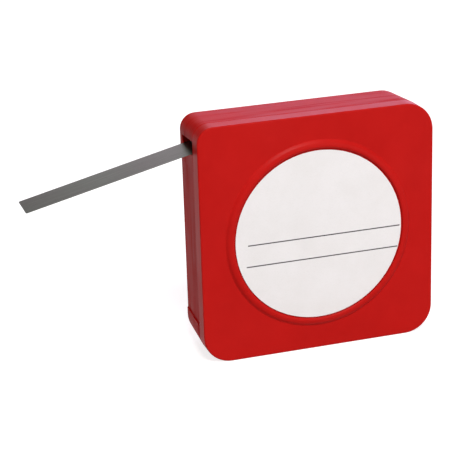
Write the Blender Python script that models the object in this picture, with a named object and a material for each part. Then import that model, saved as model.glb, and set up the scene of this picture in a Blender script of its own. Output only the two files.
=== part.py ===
"""Feeler tape dispenser: a coil of thin steel shim tape in a square moulded case.

Metres, +Z up. The case stands upright, its front faces -Y, and the tape leaves
it to the left, towards -X. The coil turns about the Y axis, and the origin is
where that axis meets the case's flat back.
"""
import math

import bmesh
import bpy
from mathutils import Vector

# Case, outside
CASE_WIDTH = 0.0850
CASE_HEIGHT = 0.0850
CASE_DEPTH = 0.0250
LID_DEPTH = 0.0058
CORNER_RADIUS = 0.0100
BACK_CORNER_RADIUS = 0.0090
SLOT_CORNER_RADIUS = 0.0057
BACK_SLOT_CORNER_RADIUS = 0.0054
BASE_DRAFT = 0.0010
FRONT_FILLET = 0.0005
BACK_FILLET = 0.0015
SEAM_GAP = 0.0003

# Case, inside
WALL = 0.0018
FLOOR = 0.0020
CHAMBER_WALL = 0.0012
LEDGE_WIDTH = 0.0030
CORNER_POCKET_DEPTH = 0.0150
TONGUE_DEPTH = 0.0016
TONGUE_CLEARANCE = 0.0003
LID_WALL = 0.0018

# Front of the lid
LABEL_RADIUS = 0.0305
LABEL_THICKNESS = 0.0002
LABEL_GAP = 0.0002
LABEL_CLEARANCE = 0.0004
LABEL_BELOW_CREST = 0.0004
RING_HEIGHT = 0.0010
RING_CREST_WIDTH = 0.0019
RING_SLOPE_WIDTH = 0.0010
RING_EDGE_FILLET = 0.0003

# Left wall
SLOT_BELOW_TOP = 0.0058
SLOT_HEIGHT = 0.0051
SLOT_DEPTH = 0.0150
PANEL_RECESS = 0.00045
PANEL_BELOW_SLOT = 0.0056
PANEL_HEIGHT = 0.0560

# Steel tape
TAPE_WIDTH = 0.0130
TAPE_THICKNESS = 0.00009
TAPE_LENGTH = 5.0
TAPE_OUT = 0.0588
TAPE_CORNER = 0.0004
TAPE_ABOVE_SLOT_FLOOR = 0.0004
COIL_RADIUS = 0.0405
COIL_CLEARANCE = 0.0003
COIL_PACKING = 1.10
TURNS_PER_RIDGE = 3
RIDGE_HEIGHT = 0.00012

# Facets
ROUND_STEPS = 96
CORNER_STEPS = 10
FILLET_STEPS = 3
CUT_OVERSHOOT = 0.0010

BACK_Y = 0.0
FRONT_Y = BACK_Y - CASE_DEPTH
SEAM_Y = FRONT_Y + LID_DEPTH
LEFT_X = -CASE_WIDTH / 2
SLOT_FLOOR_Z = CASE_HEIGHT / 2 - SLOT_BELOW_TOP - SLOT_HEIGHT
TAPE_MIDDLE_Y = SEAM_Y + SLOT_DEPTH / 2
TAPE_FRONT_Y = TAPE_MIDDLE_Y - TAPE_WIDTH / 2
TAPE_BACK_Y = TAPE_MIDDLE_Y + TAPE_WIDTH / 2
LEAD_RADIUS = COIL_RADIUS + COIL_CLEARANCE + TAPE_THICKNESS / 2
CHAMBER_RADIUS = COIL_RADIUS + COIL_CLEARANCE
TAPE_PATH_HALF = TAPE_THICKNESS / 2 + COIL_CLEARANCE


def clear_scene():
    for thing in list(bpy.data.objects):
        bpy.data.objects.remove(thing, do_unlink=True)


def material(name, colour, roughness, metallic=0.0):
    made = bpy.data.materials.new(name)
    made.use_nodes = True
    shader = made.node_tree.nodes["Principled BSDF"]
    shader.inputs["Base Color"].default_value = (*colour, 1.0)
    shader.inputs["Roughness"].default_value = roughness
    shader.inputs["Metallic"].default_value = metallic
    return made


def object_from(mesh_builder, name, finish=None, sharp_angle=math.radians(30)):
    """Turn a filled bmesh into a linked object whose faces point out."""
    bmesh.ops.recalc_face_normals(mesh_builder, faces=mesh_builder.faces)
    mesh = bpy.data.meshes.new(name)
    mesh_builder.to_mesh(mesh)
    mesh_builder.free()
    mesh.shade_smooth()
    mesh.set_sharp_from_angle(angle=sharp_angle)
    made = bpy.data.objects.new(name, mesh)
    bpy.context.scene.collection.objects.link(made)
    if finish:
        mesh.materials.append(finish)
    return made


def as_cutter(thing):
    thing.hide_render = True
    thing.display_type = "WIRE"
    return thing


def combine(target, other, operation):
    """Add or cut one solid with another, as a modifier that stays."""
    step = target.modifiers.new(other.name, "BOOLEAN")
    step.operation = operation
    step.solver = "EXACT"
    step.object = other
    as_cutter(other)


def rounded_outline(inset, radius, slot_corner_radius):
    """Points (x, z) round a square outline, moved in by inset, anticlockwise.

    The corner above the slot has its own, tighter radius.
    """
    half_x = CASE_WIDTH / 2 - inset
    half_z = CASE_HEIGHT / 2 - inset
    corners = (
        (1, 1, 0, radius), (-1, 1, 90, slot_corner_radius), (-1, -1, 180, radius), (1, -1, 270, radius))
    points = []
    for side_x, side_z, first, corner in corners:
        x = side_x * (half_x - corner)
        z = side_z * (half_z - corner)
        for step in range(CORNER_STEPS + 1):
            turn = math.radians(first + 90 * step / CORNER_STEPS)
            points.append((x + corner * math.cos(turn), z + corner * math.sin(turn)))
    return points


def loft(name, sections, finish=None):
    """Join outlines, given as (y, points), into one closed solid."""
    builder = bmesh.new()
    rings = []
    for y, points in sections:
        rings.append([builder.verts.new((x, y, z)) for x, z in points])
    for near, far in zip(rings, rings[1:]):
        for index in range(len(near)):
            following = (index + 1) % len(near)
            builder.faces.new((near[index], near[following], far[following], far[index]))
    builder.faces.new(rings[0])
    builder.faces.new(rings[-1])
    return object_from(builder, name, finish)


def turned(name, profile, steps=ROUND_STEPS, finish=None):
    """Spin a closed profile of (radius, y) about the coil's axis."""
    builder = bmesh.new()
    verts = [builder.verts.new((radius, y, 0)) for radius, y in profile]
    edges = []
    for index, vert in enumerate(verts):
        following = verts[(index + 1) % len(verts)]
        if vert.co.x > 0 or following.co.x > 0:
            edges.append(builder.edges.new((vert, following)))
    bmesh.ops.spin(
        builder, geom=edges, cent=(0, 0, 0), axis=(0, 1, 0),
        angle=2 * math.pi, steps=steps, use_merge=True)
    bmesh.ops.remove_doubles(builder, verts=builder.verts, dist=1e-6)
    return object_from(builder, name, finish)


def prism(name, outline, near_y, far_y, finish=None):
    return loft(name, [(near_y, outline), (far_y, outline)], finish)


def fillet_sections(end_y, outward, fillet, inset, radius, slot_corner_radius):
    """Sections of a rounded edge, from the side of the case to its end face at end_y."""
    sections = []
    for step in range(FILLET_STEPS + 1):
        turn = math.radians(90 * step / FILLET_STEPS)
        drawn_in = fillet * (1 - math.cos(turn))
        y = end_y - outward * fillet * (1 - math.sin(turn))
        outline = rounded_outline(inset + drawn_in, radius - drawn_in, slot_corner_radius - drawn_in)
        sections.append((y, outline))
    return sections


def tape_line():
    """Where the straight tape leaves the coil, its direction and its run to the wall."""
    wall_point = Vector((LEFT_X, SLOT_FLOOR_Z + TAPE_ABOVE_SLOT_FLOOR + TAPE_THICKNESS / 2))
    bearing = math.atan2(wall_point.y, wall_point.x)
    leave = bearing - math.acos(LEAD_RADIUS / wall_point.length)
    tangent_point = Vector((math.cos(leave), math.sin(leave))) * LEAD_RADIUS
    along = wall_point - tangent_point
    return tangent_point, along.normalized(), along.length


def corner_pocket_outline(side_x, side_z, shrink):
    """The space between the round chamber's wall and one corner of the case."""
    wall_inset = WALL + shrink
    reach = CHAMBER_RADIUS + CHAMBER_WALL + shrink
    half_x = CASE_WIDTH / 2 - wall_inset
    half_z = CASE_HEIGHT / 2 - wall_inset
    first_x = narrow_end(reach, half_z - wall_inset)
    first_z = narrow_end(reach, half_x - wall_inset)
    above_slot = side_x < 0 < side_z
    radius = (SLOT_CORNER_RADIUS if above_slot else CORNER_RADIUS) - wall_inset
    points = [(first_x, half_z)]
    for step in range(CORNER_STEPS + 1):
        turn = math.radians(90 - 90 * step / CORNER_STEPS)
        points.append((half_x - radius + radius * math.cos(turn), half_z - radius + radius * math.sin(turn)))
    points.append((half_x, first_z))
    low_turn = math.asin(first_z / reach)
    high_turn = math.acos(first_x / reach)
    for step in range(CORNER_STEPS + 1):
        turn = low_turn + (high_turn - low_turn) * step / CORNER_STEPS
        points.append((reach * math.cos(turn), reach * math.sin(turn)))
    return [(side_x * x, side_z * z) for x, z in points]


def narrow_end(reach, height):
    """How far from the middle of a side the round wall comes down to a height.

    A round wall that stays below that height leaves a rib at the middle.
    """
    rib = CHAMBER_WALL / 2
    return math.sqrt(max(reach ** 2 - height ** 2, rib ** 2))


def slot_outline():
    """The tape's way through the wall: wide at the mouth, narrow at the coil."""
    tangent_point, direction, _ = tape_line()
    across = Vector((direction.y, -direction.x)) * TAPE_PATH_HALF
    start = tangent_point - direction * COIL_CLEARANCE
    outside_x = LEFT_X - CUT_OVERSHOOT
    inside_x = LEFT_X + WALL
    top_z = SLOT_FLOOR_Z + SLOT_HEIGHT
    return [
        (outside_x, SLOT_FLOOR_Z), (inside_x, SLOT_FLOOR_Z), tuple(start - across),
        tuple(start + across), (inside_x, top_z), (outside_x, top_z)]


def make_base(finish):
    start_y = SEAM_Y + SEAM_GAP / 2
    sections = [(start_y, rounded_outline(0, CORNER_RADIUS, SLOT_CORNER_RADIUS))]
    sections += fillet_sections(
        BACK_Y, 1, BACK_FILLET, BASE_DRAFT, BACK_CORNER_RADIUS, BACK_SLOT_CORNER_RADIUS)
    base = loft("case_base", sections, finish)

    ledge_y = TAPE_BACK_Y + COIL_CLEARANCE
    floor_y = BACK_Y - FLOOR
    ledge_radius = CHAMBER_RADIUS - LEDGE_WIDTH
    open_y = start_y - CUT_OVERSHOOT
    chamber = turned("chamber_cut", [
        (0, open_y), (CHAMBER_RADIUS, open_y), (CHAMBER_RADIUS, ledge_y),
        (ledge_radius, ledge_y), (ledge_radius, floor_y), (0, floor_y)])
    combine(base, chamber, "DIFFERENCE")
    for side_x in (-1, 1):
        for side_z in (-1, 1):
            pocket = prism(
                "corner_pocket_cut", corner_pocket_outline(side_x, side_z, 0),
                open_y, start_y + CORNER_POCKET_DEPTH)
            combine(base, pocket, "DIFFERENCE")
    slot = prism("slot_cut", slot_outline(), open_y, SEAM_Y + SLOT_DEPTH)
    combine(base, slot, "DIFFERENCE")

    combine(base, side_panel_cutter(start_y), "DIFFERENCE")
    return base


def side_panel_cutter(start_y):
    """A shallow flat recess that follows the left wall's draft, from the seam to the back."""
    top_z = SLOT_FLOOR_Z - PANEL_BELOW_SLOT
    low_z = top_z - PANEL_HEIGHT
    sections = []
    slope = BASE_DRAFT / (BACK_Y - BACK_FILLET - start_y)
    for y in (start_y - CUT_OVERSHOOT, BACK_Y + CUT_OVERSHOOT):
        floor_x = LEFT_X + PANEL_RECESS + slope * (y - start_y)
        left_x = floor_x - PANEL_RECESS - CUT_OVERSHOOT
        sections.append((y, [(left_x, low_z), (floor_x, low_z), (floor_x, top_z), (left_x, top_z)]))
    return loft("side_panel_cut", sections)


def make_lid(finish):
    end_y = SEAM_Y - SEAM_GAP / 2
    sections = [(end_y, rounded_outline(0, CORNER_RADIUS, SLOT_CORNER_RADIUS))]
    sections += fillet_sections(FRONT_Y, -1, FRONT_FILLET, 0, CORNER_RADIUS, SLOT_CORNER_RADIUS)
    lid = loft("case_lid", sections, finish)

    hollow_radius = CHAMBER_RADIUS - LEDGE_WIDTH
    hollow_y = FRONT_Y + LID_WALL
    open_y = end_y + CUT_OVERSHOOT
    hollow = turned("lid_hollow_cut", [
        (0, hollow_y), (hollow_radius, hollow_y), (hollow_radius, open_y), (0, open_y)])
    combine(lid, hollow, "DIFFERENCE")
    for side_x, side_z in ((1, 1), (1, -1), (-1, -1)):
        tongue = prism(
            "lid_tongue", corner_pocket_outline(side_x, side_z, TONGUE_CLEARANCE),
            end_y - LID_WALL, end_y + TONGUE_DEPTH)
        combine(lid, tongue, "UNION")

    combine(lid, turned("label_ring", ring_profile(FRONT_Y + LID_WALL / 2)), "UNION")
    recess_radius = LABEL_RADIUS + LABEL_CLEARANCE
    recess_y = label_front_y() + LABEL_THICKNESS + LABEL_GAP
    outside_y = FRONT_Y - RING_HEIGHT - CUT_OVERSHOOT
    recess = turned("label_recess_cut", [
        (0, outside_y), (recess_radius, outside_y), (recess_radius, recess_y), (0, recess_y)])
    combine(lid, recess, "DIFFERENCE")
    return lid


def ring_profile(root_y):
    """The raised disc under the label: flat crest, rounded edge, sloping outer side."""
    crest_y = FRONT_Y - RING_HEIGHT
    crest_end = LABEL_RADIUS + LABEL_CLEARANCE + RING_CREST_WIDTH
    foot = crest_end + RING_SLOPE_WIDTH
    ease = RING_EDGE_FILLET
    ease_y = ease * RING_HEIGHT / RING_SLOPE_WIDTH
    return [
        (0, crest_y), (crest_end - ease, crest_y), (crest_end + ease / 4, crest_y + ease_y / 4),
        (crest_end + ease, crest_y + ease_y), (foot, FRONT_Y), (foot, root_y), (0, root_y)]


def label_front_y():
    return FRONT_Y - RING_HEIGHT + LABEL_BELOW_CREST


def make_label(finish):
    front_y = label_front_y()
    back_y = front_y + LABEL_THICKNESS
    return turned("label", [(0, front_y), (LABEL_RADIUS, front_y), (LABEL_RADIUS, back_y), (0, back_y)],
                  finish=finish)


def coil_inner_radius():
    """The wound steel's area across the turns, loosely packed, gives the bore."""
    return math.sqrt(COIL_RADIUS ** 2 - TAPE_LENGTH * TAPE_THICKNESS * COIL_PACKING / math.pi)


def make_coil(finish):
    inner = coil_inner_radius()
    turns = (COIL_RADIUS - inner) / (TAPE_THICKNESS * COIL_PACKING)
    ridges = max(2, round(turns / TURNS_PER_RIDGE))
    pitch = (COIL_RADIUS - inner) / ridges
    front, back = [], []
    for index in range(ridges):
        radius = inner + index * pitch
        front += [(radius, TAPE_FRONT_Y), (radius + pitch / 2, TAPE_FRONT_Y + RIDGE_HEIGHT)]
        back += [(radius, TAPE_BACK_Y), (radius + pitch / 2, TAPE_BACK_Y - RIDGE_HEIGHT)]
    front.append((COIL_RADIUS, TAPE_FRONT_Y))
    back.append((COIL_RADIUS, TAPE_BACK_Y))
    return turned("tape_coil", front + list(reversed(back)), steps=72, finish=finish)


def make_lead(finish):
    tangent_point, direction, run = tape_line()
    across = Vector((-direction.y, direction.x)) * (TAPE_THICKNESS / 2)
    length = run + TAPE_OUT
    outline = [(0, -TAPE_WIDTH / 2), (length - TAPE_CORNER, -TAPE_WIDTH / 2),
               (length, -TAPE_WIDTH / 2 + TAPE_CORNER), (length, TAPE_WIDTH / 2 - TAPE_CORNER),
               (length - TAPE_CORNER, TAPE_WIDTH / 2), (0, TAPE_WIDTH / 2)]
    builder = bmesh.new()
    sides = []
    for shift in (across, -across):
        ring = []
        for along, y in outline:
            place = tangent_point + direction * along + shift
            ring.append(builder.verts.new((place.x, TAPE_MIDDLE_Y + y, place.y)))
        builder.faces.new(ring)
        sides.append(ring)
    for index in range(len(outline)):
        following = (index + 1) % len(outline)
        builder.faces.new((sides[0][index], sides[0][following], sides[1][following], sides[1][index]))
    return object_from(builder, "tape_lead", finish)


clear_scene()
red_plastic = material("red_plastic", (0.50, 0.012, 0.010), 0.35)
paper = material("label_paper", (0.83, 0.80, 0.79), 0.6)
steel = material("tape_steel", (0.28, 0.28, 0.27), 0.38, 1.0)
make_base(red_plastic)
make_lid(red_plastic)
make_label(paper)
make_coil(steel)
make_lead(steel)
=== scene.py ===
"""Looks for the feeler tape dispenser: fine surfaces, materials, light and camera."""
import math

import bmesh
import bpy
from mathutils import Matrix, Vector


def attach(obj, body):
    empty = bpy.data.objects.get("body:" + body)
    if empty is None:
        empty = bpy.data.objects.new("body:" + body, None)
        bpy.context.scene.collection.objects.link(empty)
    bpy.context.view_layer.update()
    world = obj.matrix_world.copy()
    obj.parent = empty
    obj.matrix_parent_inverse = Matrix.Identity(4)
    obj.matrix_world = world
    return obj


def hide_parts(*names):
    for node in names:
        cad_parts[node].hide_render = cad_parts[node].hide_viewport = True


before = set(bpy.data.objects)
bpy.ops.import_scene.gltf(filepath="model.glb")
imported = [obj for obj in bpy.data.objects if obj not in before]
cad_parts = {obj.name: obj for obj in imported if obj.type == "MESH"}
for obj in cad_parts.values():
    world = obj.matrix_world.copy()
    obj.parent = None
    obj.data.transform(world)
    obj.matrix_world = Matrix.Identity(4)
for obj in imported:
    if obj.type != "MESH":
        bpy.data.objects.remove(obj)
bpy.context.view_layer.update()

MM = 0.001

# Camera: the photograph's view of the case
AZIMUTH = -17.033
ELEVATION = 19.620
ROLL = -1.941
LENS = 136.109
SENSOR = 36.0
DISTANCE = 586.17 * MM
AIM_RIGHT = 32.369 * MM
AIM_UP = -3.005 * MM
CLIP_NEAR = 0.01
CLIP_FAR = 20.0

# Case
CASE = 85.0 * MM
LEFT = -CASE / 2
FRONT_OF_CASE = -25.0 * MM
SEAM_Y = -19.2 * MM
SEAM_HALF = 0.09 * MM
BASE_START_Y = SEAM_Y + SEAM_HALF
LID_END_Y = SEAM_Y - SEAM_HALF
CORNER = 10.0 * MM
BACK_CORNER = 9.0 * MM
SLOT_CORNER = 5.7 * MM
BACK_SLOT_CORNER = 5.4 * MM
DRAFT = 1.0 * MM
FRONT_ROUND = 0.5 * MM
BACK_ROUND = 1.5 * MM
SEAM_ROUND = 0.12 * MM
EDGE_ROUND = 0.12 * MM
WALL = 1.8 * MM

# Front of the lid
RECESS_RADIUS = 30.9 * MM
RECESS_Y = -25.2 * MM
CREST_Y = -26.0 * MM
FOOT = 33.8 * MM

# The raised ring as a bead, as (share of its width from the foot inwards, share of its height)
RING_BEAD = (
    (0.0, 0.02), (0.05, 0.10), (0.11, 0.24), (0.17, 0.40), (0.23, 0.55), (0.30, 0.69), (0.38, 0.81),
    (0.47, 0.90), (0.57, 0.96), (0.67, 1.0), (0.77, 0.99), (0.87, 0.93), (0.95, 0.82), (1.0, 0.68))

# Flat loops that keep the shading of the front even, inside its rounded edge and round the ring
FLAT_INSIDE_EDGE = (0.25 * MM, 0.55 * MM, 0.9 * MM)
FLAT_ROUND_RING = (1.0 * MM, 0.6 * MM, 0.3 * MM, 0.12 * MM)

# Label, with two thin rules as (height, left end, right end)
LABEL_RADIUS = 30.35 * MM
LABEL_DROP = 0.15 * MM
LABEL_UNDERCUT = 0.2 * MM
LABEL_FRONT_Y = -25.5 * MM
LABEL_BACK_Y = -25.4 * MM
RULES = ((-0.73 * MM, -25.9 * MM, 29.8 * MM), (-8.45 * MM, -26.6 * MM, 29.0 * MM))
RULE_WIDTH = 0.36 * MM
RULE_EDGE = 0.06 * MM

# Inside of the rear shell
CHAMBER_RADIUS = 40.8 * MM
CHAMBER_WALL = 1.2 * MM
CHAMBER_END_Y = -4.9 * MM
LEDGE_RADIUS = 37.8 * MM
FLOOR_Y = -2.0 * MM
POCKET_DEPTH = 15.0 * MM
CUT_OVERSHOOT = 1.0 * MM

# Slot and panel in the left wall. The slot runs up into the chamber between two points (x, z).
SLOT_LOW = 31.6 * MM
SLOT_TOP = 36.7 * MM
SLOT_DRAFT = 1.6 * MM
SLOT_END_Y = -4.2 * MM
SLOT_IN_CHAMBER = ((-9.2 * MM, 39.5 * MM), (-9.3 * MM, 40.4 * MM))
PANEL_TOP = 26.0 * MM
PANEL_LOW = -30.0 * MM
PANEL_RECESS = 0.45 * MM

# Tape
TAPE_FRONT_Y = -18.2 * MM
TAPE_BACK_Y = -5.2 * MM
COIL_RADIUS = 40.5 * MM
COIL_BORE = 38.55 * MM
TAPE_THICKNESS = 0.09 * MM
TURNS = 20
TAPE_DIRECTION = Vector((-0.9739676, 0, -0.22668725))

# Fineness of the meshes
ROUND_POINTS = 480
CHAMBER_STEPS = 240
ROUND_STEPS = 5
FRONT_ROUND_STEPS = 7
POCKET_CORNER_STEPS = 12
POCKET_ARC_STEPS = 48
STEPS_PER_TURN = 90
SAME_PLACE = 1e-7
SHARP_ANGLE = math.radians(35)
SHELL_SHARP_ANGLE = math.radians(30)
EDGE_ANGLE = math.radians(32)

# The part of a noise texture's values that most of the surface has
MIDDLE = (0.3, 0.7)

# In all materials a colour is as seen on a screen, 0 to 255. A noise is (scale per metre, detail,
# roughness, stretch), a bump (strength, depth), and a SPREAD the noise values a look changes between.

# Red plastic. A TURN is how squarely a face looks along an axis, from least to most gloss or streak.
RED_DEEP = (185, 23, 20)
RED_FRESH = (193, 26, 23)
HAZE = (60, 3, 0.6)
GRAIN = (5200, 2, 0.6)
WAVES = (75, 2, 0.5)
DRAG = (1, 4, 0.65, (14, 2600, 14))
BROAD_DRAG = (1, 3, 0.5, (32, 400, 32))
DRAG_SPREAD = (0.25, 0.75)
SIDE_TURN = (0.25, 0.8)
RED_ROUGHNESS = (0.36, 0.44)
DRAG_ROUGHNESS = 0.06
BROAD_DRAG_ROUGHNESS = 0.03
BASE_GLOSS = (0.002, 0.030)
LID_GLOSS = (0.045, 0.095)
GLOSS_SPREAD = (0.38, 0.62)
DRAG_IN_GLOSS = 0.4
BROAD_DRAG_IN_GLOSS = 0.6
SIDE_GLOSS_SHARE = 0.55
TOP_TURN = (0.2, 0.9)
GRAIN_HEIGHT = 0.5
STREAK_HEIGHT = 0.55
FINE_BUMP = (0.35, 0.02 * MM)
WAVE_BUMP = (0.22, 0.3 * MM)

# Label paper
PAPER_DULL = (236, 233, 232)
PAPER_BRIGHT = (241, 238, 238)
FIBRE_TONE = (228, 224, 222)
INK = (44, 41, 43)
PAPER_ROUGHNESS = (0.42, 0.56)
PAPER_GLOSS = 0.35
BLOTCHES = (90, 3, 0.6)
FIBRES = (1400, 4, 0.65, (1, 1, 1.8))
FIBRE_SHARE = 0.35
FIBRE_SPREAD = (0.5, 0.75)
FIBRE_BUMP = (0.25, 0.02 * MM)
INK_BREAKS = (6000, 2, 0.6)
LEAST_INK = 0.8
INK_SPREAD = (0.35, 0.5)

# Steel
STEEL = (122, 132, 116)
HEAT_TONE = (118, 112, 106)
LINE_TONE = (60, 60, 60)
STEEL_ROUGHNESS = (0.33, 0.43)
BROAD_LINE_ROUGHNESS = 0.03
CLOUD = (55, 3, 0.6)
HEAT_SHARE = 0.5
FINE_LINES = (1, 4, 0.65, (60, 5200, 60))
BROAD_LINES = (1, 3, 0.65, (18, 900, 18))
LINE_TONE_SHARE = 0.6
LINE_SHARE = 0.35
LINE_SPREAD = (0.35, 0.7)
LINE_BUMP = (0.3, 0.01 * MM)

# Stage. The world is dim, with a bright patch behind the case, tinted towards its middle.
FLOOR_REACH = 6.0
FLOOR_TONE = (0.52, 0.52, 0.52, 1)
FLOOR_ROUGHNESS = 0.9
FLOOR_GLOW = 0.80
BRIGHT_PATCH = (0.60, 0.78, 0.17)
PATCH_EDGE = (0.76, 0.95)
WORLD_STRENGTH = (0.15, 2.6)
TINT_EDGE = (0.78, 0.94)
PATCH_TINT = (0.96, 0.70, 1.0, 1)
WHITE = (1.0, 1.0, 1.0, 1)

# Lamps that aim at the origin, as (name, place, size, watts)
LAMPS = (
    ("key_softbox", (-0.08, -0.99, 1.25), (0.6, 0.5), 20.3),
    ("fill_softbox", (0.70, -1.35, 0.22), (0.9, 0.7), 5.6))
LAMP_COLOUR = (1.0, 0.99, 0.98)


def linear(colour):
    """A colour as seen on a screen, 0 to 255, in the shader's linear values."""
    made = []
    for value in colour:
        value /= 255
        made.append(value / 12.92 if value <= 0.04045 else ((value + 0.055) / 1.055) ** 2.4)
    return (*made, 1.0)


class Nodes:
    """Short way to write the nodes of a material or the world."""

    def __init__(self, owner, shader="Principled BSDF"):
        owner.use_nodes = True
        self.owner = owner
        self.tree = owner.node_tree
        self.shader = self.tree.nodes[shader]

    def put(self, socket, value):
        if isinstance(value, bpy.types.NodeSocket):
            self.tree.links.new(value, socket)
        else:
            socket.default_value = value

    def finish(self, **values):
        """Set the shader's own sockets, with _ for a space in their names."""
        for key, value in values.items():
            self.put(self.shader.inputs[key.replace("_", " ")], value)

    def add(self, kind, inputs=None, **settings):
        node = self.tree.nodes.new(kind)
        for key, value in settings.items():
            setattr(node, key, value)
        for key, value in (inputs or {}).items():
            self.put(node.inputs[key], value)
        return node

    def maths(self, operation, *values):
        node = self.add("ShaderNodeMath", operation=operation)
        for index, value in enumerate(values):
            self.put(node.inputs[index], value)
        return node.outputs[0]

    def times(self, first, second):
        return self.maths("MULTIPLY", first, second)

    def plus(self, first, second):
        return self.maths("ADD", first, second)

    def coordinates(self):
        return self.add("ShaderNodeTexCoord").outputs["Object"]

    def stretched(self, vector, scale):
        return self.add("ShaderNodeMapping", {"Vector": vector, "Scale": scale}).outputs[0]

    def noise(self, scale, detail, roughness, stretch=(1, 1, 1), vector=None):
        vector = self.stretched(vector or self.coordinates(), stretch)
        return self.add("ShaderNodeTexNoise", {
            "Vector": vector, "Scale": scale, "Detail": detail, "Roughness": roughness}).outputs["Fac"]

    def ramp(self, value, low, high, start, end):
        """Low where value is start, high where it is end, and even between."""
        return self.add("ShaderNodeMapRange", {
            "Value": value, "From Min": start, "From Max": end,
            "To Min": low, "To Max": high}).outputs[0]

    def mix(self, factor, first, second):
        node = self.add("ShaderNodeMix", data_type="RGBA")
        self.put(node.inputs["Factor"], factor)
        self.put(node.inputs[6], first)
        self.put(node.inputs[7], second)
        return node.outputs[2]

    def bump(self, height, strength, distance, under=None):
        inputs = {"Height": height, "Strength": strength, "Distance": distance}
        if under:
            inputs["Normal"] = under
        return self.add("ShaderNodeBump", inputs).outputs[0]


def new_material(name):
    return Nodes(bpy.data.materials.new(name))


def red_plastic(name, gloss_range):
    """Moulded plastic with fine grain, patches of haze and drag lines on its sides."""
    made = new_material(name)
    haze = made.noise(*HAZE)
    grain = made.noise(*GRAIN)
    drag = made.noise(*DRAG)
    broad_drag = made.noise(*BROAD_DRAG)

    normal = made.add("ShaderNodeNewGeometry").outputs["Normal"]
    facing = made.add("ShaderNodeSeparateXYZ", {"Vector": normal}).outputs
    on_side = made.ramp(made.maths("ABSOLUTE", facing["Y"]), 1.0, 0.0, *SIDE_TURN)
    streaks = made.times(made.ramp(drag, -1, 1, *DRAG_SPREAD), on_side)
    broad_streaks = made.times(made.ramp(broad_drag, -1, 1, *MIDDLE), on_side)

    rough = made.plus(made.ramp(haze, *RED_ROUGHNESS, *MIDDLE), made.times(streaks, DRAG_ROUGHNESS))
    rough = made.plus(rough, made.times(broad_streaks, BROAD_DRAG_ROUGHNESS))

    gloss = made.plus(made.times(drag, DRAG_IN_GLOSS), made.times(broad_drag, BROAD_DRAG_IN_GLOSS))
    gloss = made.ramp(gloss, *gloss_range, *GLOSS_SPREAD)
    side_share = made.ramp(made.maths("ABSOLUTE", facing["Z"]), SIDE_GLOSS_SHARE, 1.0, *TOP_TURN)

    height = made.plus(made.times(grain, GRAIN_HEIGHT), made.times(streaks, STREAK_HEIGHT))
    fine = made.bump(height, *FINE_BUMP)
    waves = made.bump(made.noise(*WAVES), *WAVE_BUMP, under=fine)
    made.finish(
        Base_Color=made.mix(made.ramp(haze, 0, 1, *MIDDLE), linear(RED_DEEP), linear(RED_FRESH)),
        Roughness=rough, Specular_IOR_Level=made.times(gloss, side_share), Normal=waves)
    return made.owner


def label_paper():
    """Coated paper with fibres, faint blotches and two thin rules in broken ink."""
    made = new_material("label_paper_coated")
    place = made.add("ShaderNodeSeparateXYZ", {"Vector": made.coordinates()}).outputs

    def within(value, middle, half):
        beside = made.maths("ABSOLUTE", made.maths("SUBTRACT", value, middle))
        return made.ramp(beside, 1, 0, half, half + RULE_EDGE)

    def rule(height, left, right):
        in_length = within(place["X"], (left + right) / 2, (right - left) / 2)
        return made.times(within(place["Z"], height, RULE_WIDTH / 2), in_length)

    fibres = made.noise(*FIBRES)
    blotches = made.noise(*BLOTCHES)
    broken = made.ramp(made.noise(*INK_BREAKS), LEAST_INK, 1.0, *INK_SPREAD)
    ink = made.times(made.maths("MAXIMUM", *[rule(*line) for line in RULES]), broken)

    sheet = made.mix(made.ramp(blotches, 0, 1, *MIDDLE), linear(PAPER_DULL), linear(PAPER_BRIGHT))
    sheet = made.mix(made.ramp(fibres, 0, FIBRE_SHARE, *FIBRE_SPREAD), sheet, linear(FIBRE_TONE))
    made.finish(
        Base_Color=made.mix(ink, sheet, linear(INK)), Specular_IOR_Level=PAPER_GLOSS,
        Roughness=made.ramp(fibres, *PAPER_ROUGHNESS, *MIDDLE),
        Normal=made.bump(fibres, *FIBRE_BUMP))
    return made.owner


def rolled_steel():
    """Cold rolled strip: fine and broad lines along the tape, and a cloudy heat tint."""
    made = new_material("tape_steel_rolled")
    slope = math.atan2(TAPE_DIRECTION.z, TAPE_DIRECTION.x)
    along = made.add("ShaderNodeMapping", {
        "Vector": made.coordinates(), "Rotation": (0, slope, 0)}).outputs[0]
    fine = made.noise(*FINE_LINES, along)
    broad = made.noise(*BROAD_LINES, along)
    cloud = made.noise(*CLOUD)

    steel = linear(STEEL)
    heated = made.mix(HEAT_SHARE, steel, linear(HEAT_TONE))
    tint = made.mix(made.ramp(cloud, 0, 1, *MIDDLE), steel, heated)
    lined = made.mix(LINE_TONE_SHARE, tint, linear(LINE_TONE))
    tint = made.mix(made.ramp(fine, 0, LINE_SHARE, *LINE_SPREAD), tint, lined)
    unevenness = made.ramp(broad, -BROAD_LINE_ROUGHNESS, BROAD_LINE_ROUGHNESS, *MIDDLE)
    made.finish(
        Base_Color=tint, Metallic=1.0,
        Roughness=made.plus(made.ramp(fine, *STEEL_ROUGHNESS, *MIDDLE), unevenness),
        Normal=made.bump(made.plus(fine, broad), *LINE_BUMP))
    return made.owner


def new_object(builder, name, look):
    """Turn a bmesh into an object with smooth faces and sharp edges."""
    bmesh.ops.remove_doubles(builder, verts=builder.verts, dist=SAME_PLACE)
    bmesh.ops.recalc_face_normals(builder, faces=builder.faces)
    mesh = bpy.data.meshes.new(name)
    builder.to_mesh(mesh)
    builder.free()
    mesh.shade_smooth()
    mesh.set_sharp_from_angle(angle=SHARP_ANGLE)
    mesh.materials.append(look)
    made = bpy.data.objects.new(name, mesh)
    bpy.context.scene.collection.objects.link(made)
    return made


def new_piece(builder, name, look, body):
    """An object that rides on a body."""
    made = new_object(builder, name, look)
    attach(made, body)
    return made


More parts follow.
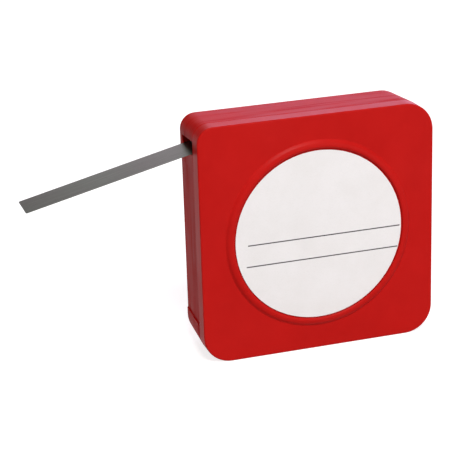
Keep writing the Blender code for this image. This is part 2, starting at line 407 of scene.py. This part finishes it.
def square_outline(inset, radius, slot_radius):
    """Points (x, z) where evenly turned rays from the middle meet a rounded square.

    The corner above the slot, at the upper left, has its own radius.
    """
    half = CASE / 2 - inset
    points = []
    for index in range(ROUND_POINTS):
        turn = 2 * math.pi * index / ROUND_POINTS
        ray_x, ray_z = math.cos(turn), math.sin(turn)
        corner = slot_radius if ray_x < 0 < ray_z else radius
        centre = half - corner
        reach = half / max(abs(ray_x), abs(ray_z))
        if min(abs(ray_x), abs(ray_z)) * reach > centre:
            along = centre * (abs(ray_x) + abs(ray_z))
            reach = along + math.sqrt(along ** 2 - 2 * centre ** 2 + corner ** 2)
        points.append((ray_x * reach, ray_z * reach))
    return points


def arc_point(radius, turn):
    return radius * math.cos(turn), radius * math.sin(turn)


def circle(radius):
    return [arc_point(radius, 2 * math.pi * index / ROUND_POINTS) for index in range(ROUND_POINTS)]


def quarter_round(y, inset, radius, slot_radius, size, towards, steps=ROUND_STEPS):
    """A quarter round between a side and an end face at y, as sections (y, points)."""
    made = []
    for step in range(steps + 1):
        turn = math.radians(90 * step / steps)
        drawn_in = size * (1 - math.cos(turn))
        outline = square_outline(inset + drawn_in, radius - drawn_in, slot_radius - drawn_in)
        made.append((y - towards * size * (1 - math.sin(turn)), outline))
    return made


def join_rings(builder, rings):
    """Faces between rings of vertices, and one over each end."""
    for near, far in zip(rings, rings[1:]):
        for index in range(len(near)):
            following = (index + 1) % len(near)
            builder.faces.new((near[index], near[following], far[following], far[index]))
    builder.faces.new(rings[0])
    builder.faces.new(rings[-1])


def lofted(sections):
    """Join outlines, given as (y, points), into one closed solid."""
    builder = bmesh.new()
    join_rings(builder, [[builder.verts.new((x, y, z)) for x, z in points] for y, points in sections])
    return builder


def turned(profile, steps=ROUND_POINTS):
    """Spin a closed profile of (radius, y) about the coil's axis."""
    builder = bmesh.new()
    verts = [builder.verts.new((radius, y, 0)) for radius, y in profile]
    edges = []
    for vert, following in zip(verts, verts[1:] + verts[:1]):
        if vert.co.x > 0 or following.co.x > 0:
            edges.append(builder.edges.new((vert, following)))
    bmesh.ops.spin(builder, geom=edges, cent=(0, 0, 0), axis=(0, 1, 0), angle=2 * math.pi,
                   steps=steps, use_merge=True)
    bmesh.ops.remove_doubles(builder, verts=builder.verts, dist=SAME_PLACE)
    return builder


def cut(target, builder):
    """Take the builder's solid out of target."""
    tool = new_object(builder, "tool", target.data.materials[0])
    step = target.modifiers.new("cut", "BOOLEAN")
    step.operation = "DIFFERENCE"
    step.solver = "EXACT"
    step.object = tool
    bpy.context.view_layer.update()
    seen = target.evaluated_get(bpy.context.evaluated_depsgraph_get())
    target.data = bpy.data.meshes.new_from_object(seen)
    target.modifiers.clear()
    bpy.data.objects.remove(tool, do_unlink=True)


def even_normals(target):
    smooth = target.modifiers.new("normals", "WEIGHTED_NORMAL")
    smooth.keep_sharp = True


def soften(target):
    """Small rounded edges, as on any moulded piece."""
    bevel = target.modifiers.new("edges", "BEVEL")
    bevel.width = EDGE_ROUND
    bevel.segments = 2
    bevel.limit_method = "ANGLE"
    bevel.angle_limit = EDGE_ANGLE
    bevel.use_clamp_overlap = True
    even_normals(target)


def chamber():
    """The round room for the coil, with the ledge that centres the lid."""
    open_y = BASE_START_Y - CUT_OVERSHOOT
    return turned([
        (0, open_y), (CHAMBER_RADIUS, open_y), (CHAMBER_RADIUS, CHAMBER_END_Y),
        (LEDGE_RADIUS, CHAMBER_END_Y), (LEDGE_RADIUS, FLOOR_Y), (0, FLOOR_Y)], CHAMBER_STEPS)


def corner_pocket():
    """The hollow corner above the slot, between the round chamber and the outer walls."""
    half = CASE / 2 - WALL
    reach = CHAMBER_RADIUS + CHAMBER_WALL
    radius = SLOT_CORNER - WALL
    near = math.sqrt(reach ** 2 - half ** 2)
    points = [(-near, half)]
    for step in range(POCKET_CORNER_STEPS + 1):
        x, z = arc_point(radius, math.radians(90 + 90 * step / POCKET_CORNER_STEPS))
        points.append((radius - half + x, half - radius + z))
    points.append((-half, near))
    first, last = math.asin(near / reach), math.acos(near / reach)
    for step in range(POCKET_ARC_STEPS + 1):
        turn = math.pi - first - (last - first) * step / POCKET_ARC_STEPS
        points.append(arc_point(reach, turn))
    return lofted([
        (BASE_START_Y - CUT_OVERSHOOT, points), (BASE_START_Y + POCKET_DEPTH, points)])


def slot():
    """The tape's way out, whose top comes down towards the back."""
    sections = []
    for y in (BASE_START_Y - CUT_OVERSHOOT, SLOT_END_Y):
        top = SLOT_TOP - SLOT_DRAFT * (y - SEAM_Y) / (SLOT_END_Y - SEAM_Y)
        sections.append((y, [
            (LEFT - CUT_OVERSHOOT, SLOT_LOW), (LEFT + WALL, SLOT_LOW), *SLOT_IN_CHAMBER,
            (LEFT + WALL, top), (LEFT - CUT_OVERSHOOT, top)]))
    return lofted(sections)


def panel():
    """The shallow panel below the slot, which follows the wall's draft."""
    slope = DRAFT / (-BACK_ROUND - BASE_START_Y)
    sections = []
    for y in (BASE_START_Y - CUT_OVERSHOOT, CUT_OVERSHOOT):
        floor_x = LEFT + PANEL_RECESS + slope * (y - BASE_START_Y)
        out_x = floor_x - PANEL_RECESS - CUT_OVERSHOOT
        sections.append((y, [
            (out_x, PANEL_LOW), (floor_x, PANEL_LOW), (floor_x, PANEL_TOP), (out_x, PANEL_TOP)]))
    return lofted(sections)


def rear_shell(look):
    sections = quarter_round(BASE_START_Y, 0, CORNER, SLOT_CORNER, SEAM_ROUND, -1)[::-1]
    sections += quarter_round(0.0, DRAFT, BACK_CORNER, BACK_SLOT_CORNER, BACK_ROUND, 1)
    made = new_piece(lofted(sections), "rear_shell", look, "case")
    for hollow in (chamber, corner_pocket, slot, panel):
        cut(made, hollow())
    made.data.shade_smooth()
    made.data.set_sharp_from_angle(angle=SHELL_SHARP_ANGLE)
    soften(made)
    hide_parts("case_base")


def front_lid(look):
    hollow = circle(LEDGE_RADIUS)
    sections = [(FRONT_OF_CASE + WALL, hollow), (LID_END_Y, hollow)]
    sections += quarter_round(LID_END_Y, 0, CORNER, SLOT_CORNER, SEAM_ROUND, 1)[::-1]
    sections += quarter_round(
        FRONT_OF_CASE, 0, CORNER, SLOT_CORNER, FRONT_ROUND, -1, FRONT_ROUND_STEPS)
    for inside in FLAT_INSIDE_EDGE:
        inset = FRONT_ROUND + inside
        outline = square_outline(inset, CORNER - inset, SLOT_CORNER - inset)
        sections.append((FRONT_OF_CASE, outline))
    sections += [(FRONT_OF_CASE, circle(FOOT + beyond)) for beyond in FLAT_ROUND_RING]
    for inward, height in RING_BEAD:
        radius = FOOT - inward * (FOOT - RECESS_RADIUS)
        sections.append((FRONT_OF_CASE + height * (CREST_Y - FRONT_OF_CASE), circle(radius)))
    sections.append((RECESS_Y, circle(RECESS_RADIUS)))
    made = new_piece(lofted(sections), "front_lid", look, "case")
    even_normals(made)
    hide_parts("case_lid")


def paper_disc(look):
    """The label, whose rim slants inwards behind its printed side."""
    builder = turned([
        (0, LABEL_FRONT_Y), (LABEL_RADIUS, LABEL_FRONT_Y),
        (LABEL_RADIUS - LABEL_UNDERCUT, LABEL_BACK_Y), (0, LABEL_BACK_Y)])
    bmesh.ops.translate(builder, verts=builder.verts, vec=(0, 0, -LABEL_DROP))
    made = new_piece(builder, "label_sheet", look, "case")
    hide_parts("label")


def tape_turns(look):
    """The wound tape as one real spiral strip, from its bore out to the coil's outside."""
    builder = bmesh.new()
    steps = TURNS * STEPS_PER_TURN
    growth = COIL_RADIUS - TAPE_THICKNESS - COIL_BORE
    rings = []
    for step in range(steps + 1):
        inner = COIL_BORE + growth * step / steps
        outer = inner + TAPE_THICKNESS
        ring = []
        for radius, y in ((inner, TAPE_FRONT_Y), (outer, TAPE_FRONT_Y),
                          (outer, TAPE_BACK_Y), (inner, TAPE_BACK_Y)):
            x, z = arc_point(radius, 2 * math.pi * step / STEPS_PER_TURN)
            ring.append(builder.verts.new((x, y, z)))
        rings.append(ring)
    join_rings(builder, rings)
    made = new_piece(builder, "tape_turns", look, "coil")
    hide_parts("tape_coil")


def straight_tape(look):
    """The tape's straight stretch keeps its CAD node and gets the steel."""
    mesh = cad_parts["tape_lead"].data
    mesh.materials.clear()
    mesh.materials.append(look)


def pale_floor():
    """White as seen directly or in a reflection, and grey to the light it bounces."""
    look = new_material("pale_floor")
    path = look.add("ShaderNodeLightPath").outputs
    seen = look.maths("MAXIMUM", path["Is Camera Ray"], path["Is Glossy Ray"])
    seen = look.maths("MAXIMUM", seen, path["Is Transmission Ray"])
    look.finish(
        Base_Color=FLOOR_TONE, Roughness=FLOOR_ROUGHNESS, Specular_IOR_Level=0.0,
        Emission_Color=WHITE, Emission_Strength=look.times(seen, FLOOR_GLOW))
    builder = bmesh.new()
    builder.faces.new([builder.verts.new((x * FLOOR_REACH, y * FLOOR_REACH, -CASE / 2))
                       for x, y in ((-1, -1), (1, -1), (1, 1), (-1, 1))])
    made = new_object(builder, "floor", look.owner)


def studio_world():
    made = Nodes(bpy.data.worlds.new("studio"), "Background")
    bpy.context.scene.world = made.owner
    direction = made.add("ShaderNodeTexCoord").outputs["Generated"]
    behind = made.add("ShaderNodeVectorMath", operation="DOT_PRODUCT")
    made.put(behind.inputs[0], direction)
    made.put(behind.inputs[1], BRIGHT_PATCH)
    behind = behind.outputs["Value"]
    tint = made.add("ShaderNodeValToRGB", {"Fac": behind})
    for stop, place, colour in zip(tint.color_ramp.elements, TINT_EDGE, (WHITE, PATCH_TINT)):
        stop.position = place
        stop.color = colour
    made.finish(
        Color=tint.outputs["Color"], Strength=made.ramp(behind, *WORLD_STRENGTH, *PATCH_EDGE))


def lamps():
    for name, place, size, watts in LAMPS:
        lamp = bpy.data.lights.new(name, "AREA")
        lamp.shape = "RECTANGLE"
        lamp.size, lamp.size_y = size
        lamp.energy = watts
        lamp.color = LAMP_COLOUR
        made = bpy.data.objects.new(name, lamp)
        made.location = place
        made.rotation_mode = "QUATERNION"
        made.rotation_quaternion = (-Vector(place)).to_track_quat("-Z", "Y")
        bpy.context.scene.collection.objects.link(made)


def camera():
    azimuth, elevation, roll = map(math.radians, (AZIMUTH, ELEVATION, ROLL))
    back = Vector((
        math.sin(azimuth) * math.cos(elevation), -math.cos(azimuth) * math.cos(elevation),
        math.sin(elevation)))
    level = Vector((0, 0, 1)).cross(back).normalized()
    upright = back.cross(level)
    right = level * math.cos(roll) + upright * math.sin(roll)
    up = upright * math.cos(roll) - level * math.sin(roll)
    data = bpy.data.cameras.new("camera")
    data.lens = LENS
    data.sensor_width = SENSOR
    data.clip_start, data.clip_end = CLIP_NEAR, CLIP_FAR
    made = bpy.data.objects.new("camera", data)
    place = Vector((0, FRONT_OF_CASE, 0)) - right * AIM_RIGHT - up * AIM_UP + back * DISTANCE
    turn = Matrix((right, up, back)).transposed().to_4x4()
    made.matrix_world = Matrix.Translation(place) @ turn
    bpy.context.scene.collection.objects.link(made)
    bpy.context.scene.camera = made


rear_shell(red_plastic("case_plastic_base", BASE_GLOSS))
front_lid(red_plastic("case_plastic_lid", LID_GLOSS))
paper_disc(label_paper())
steel_look = rolled_steel()
tape_turns(steel_look)
straight_tape(steel_look)

pale_floor()
studio_world()
lamps()
camera()
bpy.context.scene.view_settings.view_transform = "Standard"
